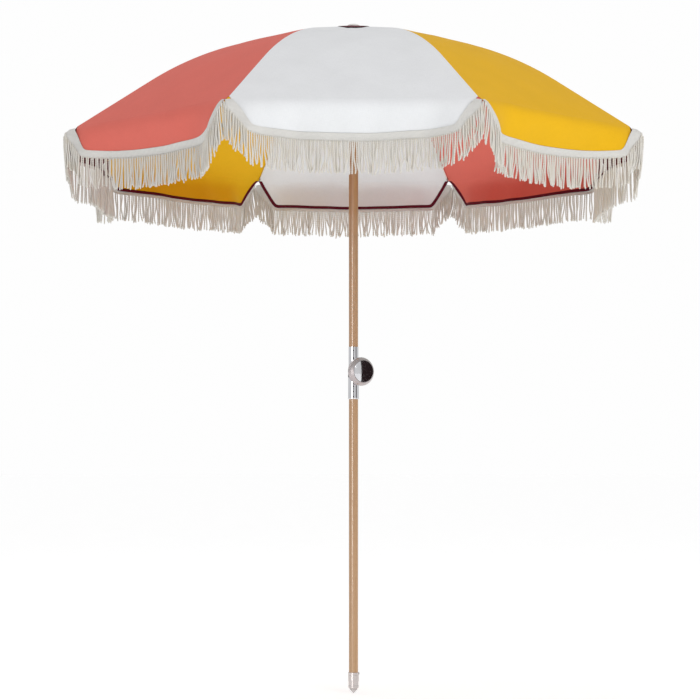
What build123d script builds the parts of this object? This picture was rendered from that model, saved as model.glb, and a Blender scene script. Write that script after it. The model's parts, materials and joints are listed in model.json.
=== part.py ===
"""Two-piece wooden beach umbrella with a tilt joint, eight ribs, a fringed canopy and a pointed foot."""

from build123d import *

import os
from math import asin, cos, degrees, radians, sin, sqrt, tan

os.makedirs("parts", exist_ok=True)

# Driving dimensions, in millimetres and degrees
total_height = 2170.0
rib_count = 8
rib_step = 360.0 / rib_count
first_rib_azimuth = -90.0 - rib_step / 2
half_step = rib_step / 2

pole_radius = 15.0
pole_chamfer = 1.5
lower_pole_bottom = 45.0
lower_pole_top = 1008.0
upper_pole_top = 2149.0

tilt_height = 1041.0
knob_azimuth = 28.0
knob_radius = 45.0
knob_back = 45.0
knob_front = 69.0
medallion_radius = 34.5

socket_bottom = 953.0
socket_radius = 17.5
socket_bore = 15.05
sleeve_radius = 16.0
sleeve_top = 1122.6
ear_half_width = 14.0
ear_disc_radius = 16.0
tongue_half_width = 6.8
tongue_disc_radius = 14.5
bolt_radius = 4.0
running_gap = 0.05
tool_length = 80.0

canopy_tip_radius = 914.0
canopy_tip_height = 1779.2
rim_slope = 34.0
seam_bend_radius = 680.0
seam_arc_radius = 1070.0
seam_knee_radius = 311.0
peak_radius = 20.0
peak_height = 2159.0
fabric_thickness = 1.2
seam_gap = 0.3
valance_drop = 104.0
valance_bottom_width = 540.0
fringe_length = 102.0
fringe_header = 20.0
fringe_thickness = 4.0

rib_wire_radius = 2.0
rib_depth = 4.4
rib_end_setback = 14.0
hub_pivot_radius = 30.0
bracket_radius = 430.0
bracket_drop = 8.0
stretcher_wire_radius = 2.0
pin_radius = 1.25
slot_width = 4.8
slot_length = 30.0
slot_start = 24.0
hub_radius = 37.0
hub_thickness = 18.0
hub_pin_half_length = 7.0
runner_bore = 15.3
runner_radius = 19.0
runner_skirt = 88.0
clevis_length = 20.0
clevis_depth = 6.2
clevis_half_width = 3.6
clevis_ear_radius = 4.2
clevis_corner = 1.5
rivet_head_height = 0.8
rib_hole_radius = 2.1
rib_eye_radius = 4.0
rib_eye_half_width = 1.6
tip_cap_radius = 2.9
tip_cap_overlap = 8.0
tip_cap_reach = 6.0
tip_cap_rounding = 2.2
stretcher_eye_radius = 3.6
stretcher_end_radius = 3.4
stretcher_eye_half_width = 1.7
cross_pin_half_length = 6.0

# The seam over a rib is an arc that ends in a straight run down to the tip
bend_sine = sin(radians(rim_slope))
bend_cosine = cos(radians(rim_slope))
seam_bend_height = canopy_tip_height + (canopy_tip_radius - seam_bend_radius) * tan(radians(rim_slope))
arc_r = seam_bend_radius - seam_arc_radius * bend_sine
arc_z = seam_bend_height - seam_arc_radius * bend_cosine
rib_arc_radius = seam_arc_radius - rib_depth
rib_bend_radius = arc_r + rib_arc_radius * bend_sine


def seam_height(r):
    """Height of the seam's arc at a distance r from the pole's axis."""
    return arc_z + sqrt(seam_arc_radius**2 - (r - arc_r) ** 2)


def rib_height(r):
    """Height of the rib's centre line at a distance r from the pole's axis."""
    if r > rib_bend_radius:
        return arc_z + rib_arc_radius * bend_cosine - (r - rib_bend_radius) * tan(radians(rim_slope))
    return arc_z + sqrt(rib_arc_radius**2 - (r - arc_r) ** 2)


def rib_slope(r):
    """Downward slope of the rib, in degrees, at a distance r from the pole's axis."""
    return degrees(asin((min(r, rib_bend_radius) - arc_r) / rib_arc_radius))


hub_pivot_height = rib_height(hub_pivot_radius)
bracket_pivot_height = rib_height(bracket_radius) - bracket_drop
runner_pivot_height = 2 * bracket_pivot_height - hub_pivot_height
seam_knee_height = seam_height(seam_knee_radius)
rib_end_radius = canopy_tip_radius - rib_end_setback
panel_shrink = cos(radians(half_step))
flap_distance = canopy_tip_radius * panel_shrink
flap_width = 2 * canopy_tip_radius * sin(radians(half_step))


def radial_plane(azimuth):
    """Plane with X outward from the pole's axis, Y up, and its normal along the tangent."""
    a = radians(azimuth)
    return Plane(origin=(0, 0, 0), x_dir=(cos(a), sin(a), 0), z_dir=(sin(a), -cos(a), 0))


def pin_plane(azimuth, r, height):
    """Radial plane moved to a pivot."""
    a = radians(azimuth)
    return Plane(
        origin=(r * cos(a), r * sin(a), height),
        x_dir=(cos(a), sin(a), 0),
        z_dir=(sin(a), -cos(a), 0),
    )


def sloped_plane(azimuth, r, height, slope):
    """Pivot plane turned so that X points outward and down by the slope."""
    a = radians(azimuth)
    s = radians(slope)
    return Plane(
        origin=(r * cos(a), r * sin(a), height),
        x_dir=(cos(s) * cos(a), cos(s) * sin(a), -sin(s)),
        z_dir=(sin(a), -cos(a), 0),
    )


def facing_plane(azimuth, distance):
    """Upright plane across a radius, with X along the tangent, Y up, and its normal outward."""
    a = radians(azimuth)
    return Plane(
        origin=(distance * cos(a), distance * sin(a), 0),
        x_dir=(-sin(a), cos(a), 0),
        z_dir=(cos(a), sin(a), 0),
    )


def save(builder, name):
    """Labels a finished piece and writes it to its own file."""
    builder.part.label = name
    export_step(builder.part, f"parts/{name}.step")


knob_turn = radians(knob_azimuth)
bolt_direction = (sin(knob_turn), -cos(knob_turn), 0)
across_direction = (cos(knob_turn), sin(knob_turn), 0)
bolt_plane = Plane(origin=(0, 0, tilt_height), x_dir=across_direction, z_dir=bolt_direction)
knob_section = Plane(origin=(0, 0, tilt_height), x_dir=across_direction, z_dir=(0, 0, -1))
bolt_axis = Axis((0, 0, tilt_height), bolt_direction)

# Lower pole: a round wooden shaft from the foot to the joint, drilled for the foot screw
foot_screw_height = 63.0
foot_screw_radius = 2.0
foot_screw_depth = 11.0
screw_hole_length = 10.0
screw_plane = Plane(origin=(0, 0, foot_screw_height), x_dir=(0, 1, 0), z_dir=(1, 0, 0))

with BuildPart() as lower_pole:
    with BuildSketch(Plane.XY.offset(lower_pole_bottom)):
        Circle(pole_radius)
    extrude(amount=lower_pole_top - lower_pole_bottom)
    chamfer(lower_pole.edges().group_by(Axis.Z)[-1], length=pole_chamfer)
    with BuildSketch(screw_plane.offset(foot_screw_depth)):
        Circle(foot_screw_radius)
    extrude(amount=screw_hole_length, mode=Mode.SUBTRACT)
save(lower_pole, "lower_pole")

# Foot ferrule: a turned metal cup with two rings and a point
cup_bottom = 43.5
cup_line = 58.0
cup_top = 67.0
groove_depth = 0.3
groove_height = 1.1
point_radius = 1.8
cone_radius = 13.5
cone_top = 12.5
waist_radius = 12.2
waist_height = 14.8
ring_radius = 17.0
ring_bottom = 16.2
ring_top = 25.0
barrel_radius = 16.4
barrel_top = 36.0
bead_radius = 17.4
ring_bevel = 1.0
bead_bevel = 2.5
with BuildPart() as foot_ferrule:
    with BuildSketch(Plane.XZ):
        with BuildLine():
            Polyline(
                (0, 0),
                (point_radius, point_radius / 9),
                (cone_radius, cone_top),
                (waist_radius, cone_top + ring_bevel),
                (waist_radius, waist_height),
                (ring_radius - ring_bevel, ring_bottom),
                (ring_radius, ring_bottom + bead_bevel),
                (ring_radius, ring_top - ring_bevel),
                (barrel_radius, ring_top),
                (barrel_radius, barrel_top),
                (bead_radius, barrel_top + bead_bevel),
                (bead_radius, cup_bottom - ring_bevel),
                (socket_radius, cup_bottom),
                (socket_radius, cup_line),
                (socket_radius - groove_depth, cup_line + groove_depth),
                (socket_radius - groove_depth, cup_line + groove_height - groove_depth),
                (socket_radius, cup_line + groove_height),
                (socket_radius, cup_top),
                (pole_radius, cup_top),
                (pole_radius, lower_pole_bottom),
                (0, lower_pole_bottom),
                close=True,
            )
        make_face()
    revolve(axis=Axis.Z)
    with BuildSketch(screw_plane.offset(foot_screw_depth)):
        Circle(foot_screw_radius)
    extrude(amount=screw_hole_length, mode=Mode.SUBTRACT)
save(foot_ferrule, "foot_ferrule")

# Foot screw: holds the ferrule on the pole
foot_screw_head_radius = 3.8
foot_screw_head_height = 1.9
foot_screw_rounding = 1.2
driver_slot_width = 0.9
driver_slot_length = 6.0
driver_slot_depth = 0.8
with BuildPart() as foot_screw:
    with BuildSketch(screw_plane.offset(foot_screw_depth)):
        Circle(foot_screw_radius)
    extrude(amount=socket_radius - foot_screw_depth)
    with BuildSketch(screw_plane.offset(socket_radius)):
        Circle(foot_screw_head_radius)
    extrude(amount=foot_screw_head_height)
    fillet(foot_screw.edges().group_by(Axis.X)[-1], radius=foot_screw_rounding)
    with BuildSketch(screw_plane.offset(socket_radius + foot_screw_head_height - driver_slot_depth)):
        Rectangle(driver_slot_length, driver_slot_width)
    extrude(amount=2 * driver_slot_depth, mode=Mode.SUBTRACT)
save(foot_screw, "foot_screw")

# Lower socket: chrome tube that the lower pole pushes into, with a rolled lip and two ears
socket_web_bottom = lower_pole_top + 1.0
socket_web_top = socket_web_bottom + 8.0
socket_mouth_bevel = 1.2
lip_radius = socket_radius + 1.0
lip_height = 4.0
slot_clearance = 0.3
slot_floor = tilt_height - tongue_disc_radius - 2.5
slot_height = tilt_height - slot_floor + ear_disc_radius
with BuildPart() as lower_socket:
    with BuildSketch(bolt_plane.offset(-ear_half_width)):
        Circle(ear_disc_radius)
        with Locations((0, (socket_web_bottom - tilt_height) / 2)):
            Rectangle(2 * ear_disc_radius, tilt_height - socket_web_bottom)
    extrude(amount=2 * ear_half_width)
    with BuildSketch(Plane.XY.offset(socket_web_bottom)):
        Circle(socket_radius)
    extrude(amount=tool_length, mode=Mode.INTERSECT)
    with BuildSketch(bolt_plane.offset(-tongue_half_width - slot_clearance)):
        with Locations((0, slot_floor - tilt_height + slot_height / 2)):
            Rectangle(tool_length, slot_height)
    extrude(amount=2 * (tongue_half_width + slot_clearance), mode=Mode.SUBTRACT)
    with BuildSketch(bolt_plane.offset(-tool_length / 2)):
        Circle(bolt_radius)
    extrude(amount=tool_length, mode=Mode.SUBTRACT)
    with BuildSketch(Plane.XZ):
        with BuildLine():
            lip = ThreePointArc(
                (socket_radius - lip_height / 10, socket_bottom),
                (lip_radius, socket_bottom + lip_height / 2),
                (socket_radius, socket_bottom + lip_height),
            )
            Polyline(
                lip @ 1,
                (socket_radius, socket_web_top),
                (0, socket_web_top),
                (0, socket_web_bottom),
                (socket_bore, socket_web_bottom),
                (socket_bore, socket_bottom + socket_mouth_bevel),
                (socket_bore + socket_mouth_bevel, socket_bottom),
                lip @ 0,
            )
        make_face()
    revolve(axis=Axis.Z)
save(lower_socket, "lower_socket")

# Upper sleeve: chrome tube over the upper pole, with the tongue that turns on the bolt
sleeve_web_bottom = tilt_height + 20.0
sleeve_web_top = sleeve_web_bottom + 5.0
sleeve_screw_height = 1104.0
sleeve_screw_radius = 1.5
sleeve_screw_spacing = 22.0
sleeve_screw_depth = 9.0
sleeve_screw_head_radius = 3.2
sleeve_screw_head_height = 1.5
sleeve_screw_rounding = 1.0
tongue_root = 2.0
back_plane = Plane(origin=(0, 0, sleeve_screw_height), x_dir=(-1, 0, 0), z_dir=(0, 1, 0))
with BuildPart() as upper_sleeve:
    with BuildSketch(bolt_plane.offset(-tongue_half_width)):
        Circle(tongue_disc_radius)
        with Locations((0, (sleeve_web_bottom + tongue_root - tilt_height) / 2)):
            Rectangle(2 * tongue_disc_radius, sleeve_web_bottom + tongue_root - tilt_height)
    extrude(amount=2 * tongue_half_width)
    with BuildSketch(Plane.XY.offset(tilt_height - tool_length / 2)):
        Circle(sleeve_radius)
    extrude(amount=tool_length, mode=Mode.INTERSECT)
    with BuildSketch(Plane.XY.offset(sleeve_web_bottom)):
        Circle(sleeve_radius)
    extrude(amount=sleeve_top - sleeve_web_bottom)
    with BuildSketch(Plane.XY.offset(sleeve_web_top)):
        Circle(pole_radius)
    extrude(amount=sleeve_top - sleeve_web_top, mode=Mode.SUBTRACT)
    with BuildSketch(bolt_plane.offset(-tool_length / 2)):
        Circle(bolt_radius + running_gap)
    extrude(amount=tool_length, mode=Mode.SUBTRACT)
    with BuildSketch(back_plane):
        with GridLocations(0, sleeve_screw_spacing, 1, 2):
            Circle(sleeve_screw_radius)
    extrude(amount=2 * sleeve_radius, mode=Mode.SUBTRACT)
save(upper_sleeve, "upper_sleeve")

# Sleeve screws: two at the back hold the sleeve on the wood
with BuildPart() as sleeve_screws:
    with BuildSketch(back_plane.offset(pole_radius - sleeve_screw_depth)):
        with GridLocations(0, sleeve_screw_spacing, 1, 2):
            Circle(sleeve_screw_radius)
    extrude(amount=sleeve_radius + sleeve_screw_depth - pole_radius)
    with BuildSketch(back_plane.offset(sleeve_radius)):
        with GridLocations(0, sleeve_screw_spacing, 1, 2):
            Circle(sleeve_screw_head_radius)
    extrude(amount=sleeve_screw_head_height)
    fillet(sleeve_screws.edges().group_by(Axis.Y)[-1], radius=sleeve_screw_rounding)
save(sleeve_screws, "sleeve_screws")

# Upper pole: a round wooden shaft from the joint to the crown
finial_screw_radius = 3.0
finial_screw_depth = 30.0
with BuildPart() as upper_pole:
    with BuildSketch(Plane.XY.offset(sleeve_web_top)):
        Circle(pole_radius)
    extrude(amount=upper_pole_top - sleeve_web_top)
    with BuildSketch(back_plane.offset(pole_radius - sleeve_screw_depth)):
        with GridLocations(0, sleeve_screw_spacing, 1, 2):
            Circle(sleeve_screw_radius)
    extrude(amount=pole_radius, mode=Mode.SUBTRACT)
    with BuildSketch(Plane.XY.offset(upper_pole_top - finial_screw_depth)):
        Circle(finial_screw_radius)
    extrude(amount=finial_screw_depth, mode=Mode.SUBTRACT)
save(upper_pole, "upper_pole")

# Tilt bolt: round head at the back, shank through ears and tongue, and the stud for the knob
bolt_head_thickness = 3.0
bolt_head_radius = 9.0
bolt_head_rounding = 2.0
stud_end = 58.0
stud_chamfer = 0.8
with BuildPart() as tilt_bolt:
    with BuildSketch(bolt_plane.offset(-ear_half_width - bolt_head_thickness)):
        Circle(bolt_head_radius)
    extrude(amount=bolt_head_thickness)
    fillet(tilt_bolt.edges().sort_by(bolt_axis)[0], radius=bolt_head_rounding)
    with BuildSketch(bolt_plane.offset(-ear_half_width)):
        Circle(bolt_radius)
    extrude(amount=ear_half_width + stud_end)
    chamfer(tilt_bolt.edges().sort_by(bolt_axis)[-1], length=stud_chamfer)
save(tilt_bolt, "tilt_bolt")

# Tilt washer: between the ear and the knob's neck
washer_thickness = 2.5
washer_radius = 10.2
washer_hole_radius = bolt_radius + 0.1
with BuildPart() as tilt_washer:
    with BuildSketch(bolt_plane.offset(ear_half_width)):
        Circle(washer_radius)
        Circle(washer_hole_radius, mode=Mode.SUBTRACT)
    extrude(amount=washer_thickness)
save(tilt_washer, "tilt_washer")

# Tilt knob: large round hand knob with a bevelled rim, a neck and a recess for the medallion
neck_start = ear_half_width + washer_thickness + 0.4
neck_radius = 12.5
neck_flare = 6.0
recess_depth = 3.0
recess_floor = knob_front - recess_depth
recess_radius = medallion_radius + 0.1
knob_bore = bolt_radius + running_gap
bore_end = stud_end + 2.0
back_bevel = 2.0
side_width = 9.0
shoulder_drop = 5.5
shoulder_inset = 3.0
face_lip = 1.5
with BuildPart() as tilt_knob:
    with BuildSketch(knob_section):
        with BuildLine():
            neck = ThreePointArc(
                (neck_radius, knob_back - neck_flare),
                (neck_radius + 0.3 * neck_flare, knob_back - 0.3 * neck_flare),
                (neck_radius + neck_flare, knob_back),
            )
            Polyline(
                neck @ 1,
                (knob_radius - back_bevel, knob_back),
                (knob_radius, knob_back + back_bevel),
                (knob_radius, knob_back + back_bevel + side_width),
                (knob_radius - shoulder_inset, knob_back + back_bevel + side_width + shoulder_drop),
                (recess_radius + face_lip, knob_front),
                (recess_radius, knob_front),
                (recess_radius, recess_floor),
                (0, recess_floor),
                (0, bore_end),
                (knob_bore, bore_end),
                (knob_bore, neck_start),
                (neck_radius, neck_start),
                neck @ 0,
            )
        make_face()
    revolve(axis=bolt_axis)
save(tilt_knob, "tilt_knob")

# Knob medallion: plain polished disc, slightly domed, set into the knob's face
medallion_edge = knob_front + 0.4
medallion_dome = 2.0
medallion_top = medallion_edge + medallion_dome
dome_radius = (medallion_radius**2 + medallion_dome**2) / (2 * medallion_dome)
with BuildPart() as knob_medallion:
    with BuildSketch(bolt_plane.offset(recess_floor)):
        Circle(medallion_radius)
    extrude(amount=medallion_top + medallion_dome - recess_floor)
    with Locations(bolt_plane.offset(medallion_top - dome_radius).origin):
        Sphere(dome_radius, mode=Mode.INTERSECT)
save(knob_medallion, "knob_medallion")

# Top hub: notched disc that holds the rib ends
hub_bottom = hub_pivot_height - hub_thickness / 2
slot_centre = slot_start + slot_length / 2
with BuildPart() as top_hub:
    with BuildSketch(Plane.XY.offset(hub_bottom)):
        Circle(hub_radius)
        Circle(pole_radius, mode=Mode.SUBTRACT)
        with PolarLocations(slot_centre, rib_count, start_angle=first_rib_azimuth):
            Rectangle(slot_length, slot_width, mode=Mode.SUBTRACT)
    extrude(amount=hub_thickness)
    for k in range(rib_count):
        azimuth = first_rib_azimuth + k * rib_step
        with BuildSketch(pin_plane(azimuth, hub_pivot_radius, hub_pivot_height)):
            Circle(pin_radius)
        extrude(amount=hub_pin_half_length, both=True, mode=Mode.SUBTRACT)
save(top_hub, "top_hub")

# Hub pins: one through each rib's eye
with BuildPart() as hub_pins:
    for k in range(rib_count):
        azimuth = first_rib_azimuth + k * rib_step
        with BuildSketch(pin_plane(azimuth, hub_pivot_radius, hub_pivot_height)):
            Circle(pin_radius)
        extrude(amount=hub_pin_half_length, both=True)
save(hub_pins, "hub_pins")

# Crown collar: spacer under the fabric's peak
collar_radius = peak_radius - 0.8
collar_top = peak_height - 1.0
with BuildPart() as crown_collar:
    with BuildSketch(Plane.XY.offset(upper_pole_top)):
        Circle(collar_radius)
        Circle(finial_screw_radius, mode=Mode.SUBTRACT)
    extrude(amount=collar_top - upper_pole_top)
save(crown_collar, "crown_collar")

# Crown patch: shallow fabric cone over the panels' points
patch_thickness = 1.0
patch_gap = 0.2
patch_inner_radius = 3.2
patch_radius = 118.0
cone_slope = (peak_height - seam_knee_height) / (seam_knee_radius - peak_radius)
patch_peak = peak_height + fabric_thickness + patch_gap
patch_edge = patch_peak - cone_slope * (patch_radius - peak_radius)
with BuildPart() as crown_patch:
    with BuildSketch(Plane.XZ):
        with BuildLine():
            Polyline(
                (patch_inner_radius, patch_peak),
                (peak_radius, patch_peak),
                (patch_radius, patch_edge),
                (patch_radius, patch_edge + patch_thickness),
                (peak_radius, patch_peak + patch_thickness),
                (patch_inner_radius, patch_peak + patch_thickness),
                (patch_inner_radius, patch_peak),
            )
        make_face()
    revolve(axis=Axis.Z)
save(crown_patch, "crown_patch")

# Finial cap: low turned cap whose screw clamps the fabric to the pole
cap_bottom = patch_peak + patch_thickness
cap_radius = 21.0
cap_rim = 3.2
cap_crown_radius = 3.2
cap_screw_bottom = upper_pole_top - finial_screw_depth + 1.0
with BuildPart() as finial_cap:
    with BuildSketch(Plane.XZ):
        with BuildLine():
            crown = ThreePointArc(
                (cap_radius, cap_bottom + cap_rim),
                (0.62 * cap_radius, total_height - 1.4),
                (cap_crown_radius, total_height),
            )
            Polyline(
                crown @ 1,
                (0, total_height),
                (0, cap_screw_bottom),
                (finial_screw_radius, cap_screw_bottom),
                (finial_screw_radius, cap_bottom),
                (cap_radius, cap_bottom),
                crown @ 0,
            )
        make_face()
    revolve(axis=Axis.Z)
save(finial_cap, "finial_cap")

# Runner: sleeve on the upper pole with an eight-slot flange and a boss for the catch button
flange_half_height = 8.0
flange_top = runner_pivot_height + flange_half_height
flange_bottom = runner_pivot_height - flange_half_height
runner_bottom = runner_pivot_height - runner_skirt
runner_chamfer = 1.2
button_height = runner_bottom + 26.0
boss_radius = 8.0
boss_bore = 5.2
boss_end = 27.0
boss_plane = Plane(origin=(0, 0, button_height), x_dir=(-1, 0, 0), z_dir=(0, 1, 0))
pin_slot_width = 2 * pin_radius + 0.4
pin_slot_half_length = 6.5
with BuildPart() as runner:
    with BuildSketch(Plane.XY.offset(runner_bottom)):
        Circle(runner_radius)
    extrude(amount=flange_top - runner_bottom)
    chamfer(runner.edges().group_by(Axis.Z)[0], length=runner_chamfer)
    with BuildSketch(boss_plane):
        Circle(boss_radius)
    extrude(amount=boss_end)
    with BuildSketch(Plane.XY.offset(flange_bottom)):
        Circle(hub_radius)
    extrude(amount=flange_top - flange_bottom)
    with BuildSketch(Plane.XY.offset(flange_bottom)):
        with PolarLocations(slot_centre, rib_count, start_angle=first_rib_azimuth):
            Rectangle(slot_length, slot_width)
    extrude(amount=flange_top - flange_bottom, mode=Mode.SUBTRACT)
    with BuildSketch(Plane.XY.offset(flange_bottom)):
        with PolarLocations(hub_pivot_radius, rib_count, start_angle=first_rib_azimuth):
            Rectangle(pin_slot_width, 2 * pin_slot_half_length)
    extrude(amount=runner_pivot_height - flange_bottom, mode=Mode.SUBTRACT)
    for k in range(rib_count):
        azimuth = first_rib_azimuth + k * rib_step
        with BuildSketch(pin_plane(azimuth, hub_pivot_radius, runner_pivot_height)):
            Circle(pin_slot_width / 2)
        extrude(amount=pin_slot_half_length, both=True, mode=Mode.SUBTRACT)
    with BuildSketch(Plane.XY.offset(runner_bottom)):
        Circle(runner_bore)
    extrude(amount=flange_top - runner_bottom, mode=Mode.SUBTRACT)
    with BuildSketch(boss_plane.offset(runner_bore - 2)):
        Circle(boss_bore)
    extrude(amount=boss_end, mode=Mode.SUBTRACT)
save(runner, "runner")

# Runner button: spring catch that a thumb presses towards the pole
button_travel = 3.0
button_radius = 4.8
button_rounding = 1.5
button_end = 30.5
button_shoulder = 22.0
button_stem_radius = 2.4
button_stem_end = pole_radius + button_travel + 0.6
with BuildPart() as runner_button:
    with BuildSketch(boss_plane.offset(button_shoulder)):
        Circle(button_radius)
    extrude(amount=button_end - button_shoulder)
    fillet(runner_button.edges().group_by(Axis.Y)[-1], radius=button_rounding)
    with BuildSketch(boss_plane.offset(button_stem_end)):
        Circle(button_stem_radius)
    extrude(amount=button_shoulder - button_stem_end)
save(runner_button, "runner_button")

# Button spring: small coil behind the button's shoulder
spring_radius = 3.7
spring_wire_radius = 0.4
spring_turns = 4
spring_start = pole_radius + 1.0
spring_length = button_shoulder - spring_start - 1.0
with BuildPart() as button_spring:
    with BuildLine():
        spring_line = Helix(
            pitch=spring_length / spring_turns,
            height=spring_length,
            radius=spring_radius,
            center=(0, spring_start, button_height),
            direction=(0, 1, 0),
        )
    with BuildSketch(Plane(origin=spring_line @ 0, z_dir=spring_line % 0)):
        Circle(spring_wire_radius)
    sweep(is_frenet=True)
save(button_spring, "button_spring")


def make_rib(azimuth, name):
    """A bent steel wire with a flattened eye at the hub."""
    wire_start = hub_pivot_radius + rib_eye_radius / 2
    wire_middle = (wire_start + rib_bend_radius) / 2
    with BuildPart() as rib:
        with BuildLine(radial_plane(azimuth)):
            line = ThreePointArc(
                (wire_start, rib_height(wire_start)),
                (wire_middle, rib_height(wire_middle)),
                (rib_bend_radius, rib_height(rib_bend_radius)),
            )
            Line(line @ 1, (rib_end_radius, rib_height(rib_end_radius)))
        with BuildSketch(Plane(origin=line @ 0, z_dir=line % 0)):
            Circle(rib_wire_radius)
        sweep()
        with BuildSketch(pin_plane(azimuth, hub_pivot_radius, hub_pivot_height)):
            Circle(rib_eye_radius)
        extrude(amount=rib_eye_half_width, both=True)
        with BuildSketch(pin_plane(azimuth, hub_pivot_radius, hub_pivot_height)):
            Circle(pin_radius + running_gap)
        extrude(amount=rib_eye_radius, both=True, mode=Mode.SUBTRACT)
    save(rib, name)


def make_rib_fittings(azimuth, name):
    """A clevis clamped on the rib, its rivet, and the cap on the rib's tip."""
    pivot = pin_plane(azimuth, bracket_radius, bracket_pivot_height)
    along_rib = sloped_plane(
        azimuth, bracket_radius, rib_height(bracket_radius), rib_slope(bracket_radius)
    )
    rib_end = sloped_plane(
        azimuth, rib_end_radius, rib_height(rib_end_radius), rib_slope(rib_end_radius)
    )
    tip_plane = Plane(origin=rib_end.origin, z_dir=rib_end.x_dir)
    tip_axis = Axis(rib_end.origin, rib_end.x_dir)
    with BuildPart() as fittings:
        with BuildSketch(along_rib):
            RectangleRounded(clevis_length, clevis_depth, clevis_corner)
        extrude(amount=clevis_half_width, both=True)
        with BuildSketch(pivot):
            Circle(clevis_ear_radius)
            with Locations((0, bracket_drop / 2)):
                Rectangle(2 * clevis_ear_radius, bracket_drop)
        extrude(amount=clevis_half_width, both=True)
        with BuildSketch(along_rib):
            with Locations((0, -(clevis_depth + clevis_length) / 2)):
                Rectangle(2 * clevis_length, clevis_length)
        extrude(amount=slot_width / 2, both=True, mode=Mode.SUBTRACT)
        with BuildSketch(pivot):
            Circle(pin_radius)
        extrude(amount=clevis_half_width, both=True, mode=Mode.SUBTRACT)
        with BuildSketch(tip_plane.offset(-tip_cap_overlap)):
            Circle(tip_cap_radius)
        extrude(amount=tip_cap_overlap + tip_cap_reach)
        fillet(fittings.edges().filter_by(GeomType.CIRCLE).sort_by(tip_axis)[-1], radius=tip_cap_rounding)
        with BuildSketch(tip_plane.offset(-tip_cap_overlap)):
            Circle(rib_hole_radius)
        extrude(amount=tip_cap_overlap, mode=Mode.SUBTRACT)
        with BuildSketch(Plane(origin=along_rib.origin, z_dir=along_rib.x_dir)):
            Circle(rib_hole_radius)
        extrude(amount=clevis_length, both=True, mode=Mode.SUBTRACT)
        with BuildSketch(pivot):
            Circle(pin_radius)
        extrude(amount=clevis_half_width + rivet_head_height, both=True)
    save(fittings, name)


def make_stretcher(azimuth, name):
    """A straight wire with an eye at the rib and a cross pin at the runner."""
    outer = pin_plane(azimuth, bracket_radius, bracket_pivot_height)
    inner = pin_plane(azimuth, hub_pivot_radius, runner_pivot_height)
    with BuildPart() as stretcher:
        with BuildLine():
            line = Line(inner.origin, outer.origin)
        with BuildSketch(Plane(origin=line @ 0, z_dir=line % 0)):
            Circle(stretcher_wire_radius)
        sweep()
        with BuildSketch(outer):
            Circle(stretcher_eye_radius)
        extrude(amount=stretcher_eye_half_width, both=True)
        with BuildSketch(inner):
            Circle(stretcher_end_radius)
        extrude(amount=stretcher_eye_half_width, both=True)
        with BuildSketch(outer):
            Circle(pin_radius + running_gap)
        extrude(amount=stretcher_eye_radius, both=True, mode=Mode.SUBTRACT)
        with BuildSketch(inner):
            Circle(pin_radius)
        extrude(amount=cross_pin_half_length, both=True)
    save(stretcher, name)


def make_panel(azimuth, name):
    """A gore of fabric from the crown to the rim, with its valance hanging from the rim."""
    quarter = (seam_bend_radius - seam_knee_radius) / 4
    arc_points = [seam_knee_radius + i * quarter for i in range(5)]
    knee, first, middle, third, bend = [(r * panel_shrink, seam_height(r)) for r in arc_points]
    tip = (flap_distance, canopy_tip_height)
    peak = (peak_radius * panel_shrink, peak_height)
    valance_bottom = canopy_tip_height - valance_drop
    half = flap_width / 2 - seam_gap
    with BuildPart() as panel:
        with BuildSketch(radial_plane(azimuth)):
            with BuildLine():
                for lift in (0, fabric_thickness):
                    row = [(x, z + lift) for x, z in (peak, knee, first, middle, third, bend, tip)]
                    Line(row[0], row[1])
                    ThreePointArc(*row[1:4])
                    ThreePointArc(*row[3:6])
                    Line(row[5], row[6])
                for x, z in (peak, tip):
                    Line((x, z), (x, z + fabric_thickness))
            make_face()
        extrude(amount=flap_width, both=True)
        with BuildSketch(facing_plane(azimuth, flap_distance - fabric_thickness)):
            Polygon(
                (-half, canopy_tip_height + fabric_thickness),
                (-half, canopy_tip_height),
                (-valance_bottom_width / 2, valance_bottom),
                (valance_bottom_width / 2, valance_bottom),
                (half, canopy_tip_height),
                (half, canopy_tip_height + fabric_thickness),
                align=None,
            )
        extrude(amount=fabric_thickness)
        for side in (-1, 1):
            cut = radians(azimuth + side * half_step)
            outward = (-side * sin(cut), side * cos(cut), 0)
            inner_point = (-seam_gap * outward[0], -seam_gap * outward[1], 0)
            split(bisect_by=Plane(origin=inner_point, z_dir=outward), keep=Keep.BOTTOM)
    save(panel, name)


def make_fringe(azimuth, name):
    """Woven header and cords of one panel, as a band that follows the valance's edge."""
    half = flap_width / 2 - 1.0
    edge_bottom = canopy_tip_height - valance_drop
    corner = valance_bottom_width / 2
    with BuildPart() as fringe:
        with BuildSketch(facing_plane(azimuth, flap_distance + seam_gap)):
            Polygon(
                (-half, canopy_tip_height),
                (-half, canopy_tip_height - fringe_length),
                (-corner, edge_bottom - fringe_length),
                (corner, edge_bottom - fringe_length),
                (half, canopy_tip_height - fringe_length),
                (half, canopy_tip_height),
                (corner - fringe_header / 2, edge_bottom + fringe_header),
                (-corner + fringe_header / 2, edge_bottom + fringe_header),
                align=None,
            )
        extrude(amount=fringe_thickness)
    save(fringe, name)


for k in range(rib_count):
    rib_azimuth = first_rib_azimuth + k * rib_step
    panel_azimuth = rib_azimuth + half_step
    make_rib(rib_azimuth, f"rib_{k + 1}")
    make_rib_fittings(rib_azimuth, f"rib_fittings_{k + 1}")
    make_stretcher(rib_azimuth, f"stretcher_{k + 1}")
    make_panel(panel_azimuth, f"canopy_panel_{k + 1}")
    make_fringe(panel_azimuth, f"fringe_{k + 1}")
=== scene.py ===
"""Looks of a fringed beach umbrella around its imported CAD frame.

Canopy, fringe, crown patch, knob grip, materials, floor, lights and camera, with lengths in metres.
"""

import json
import math

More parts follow.
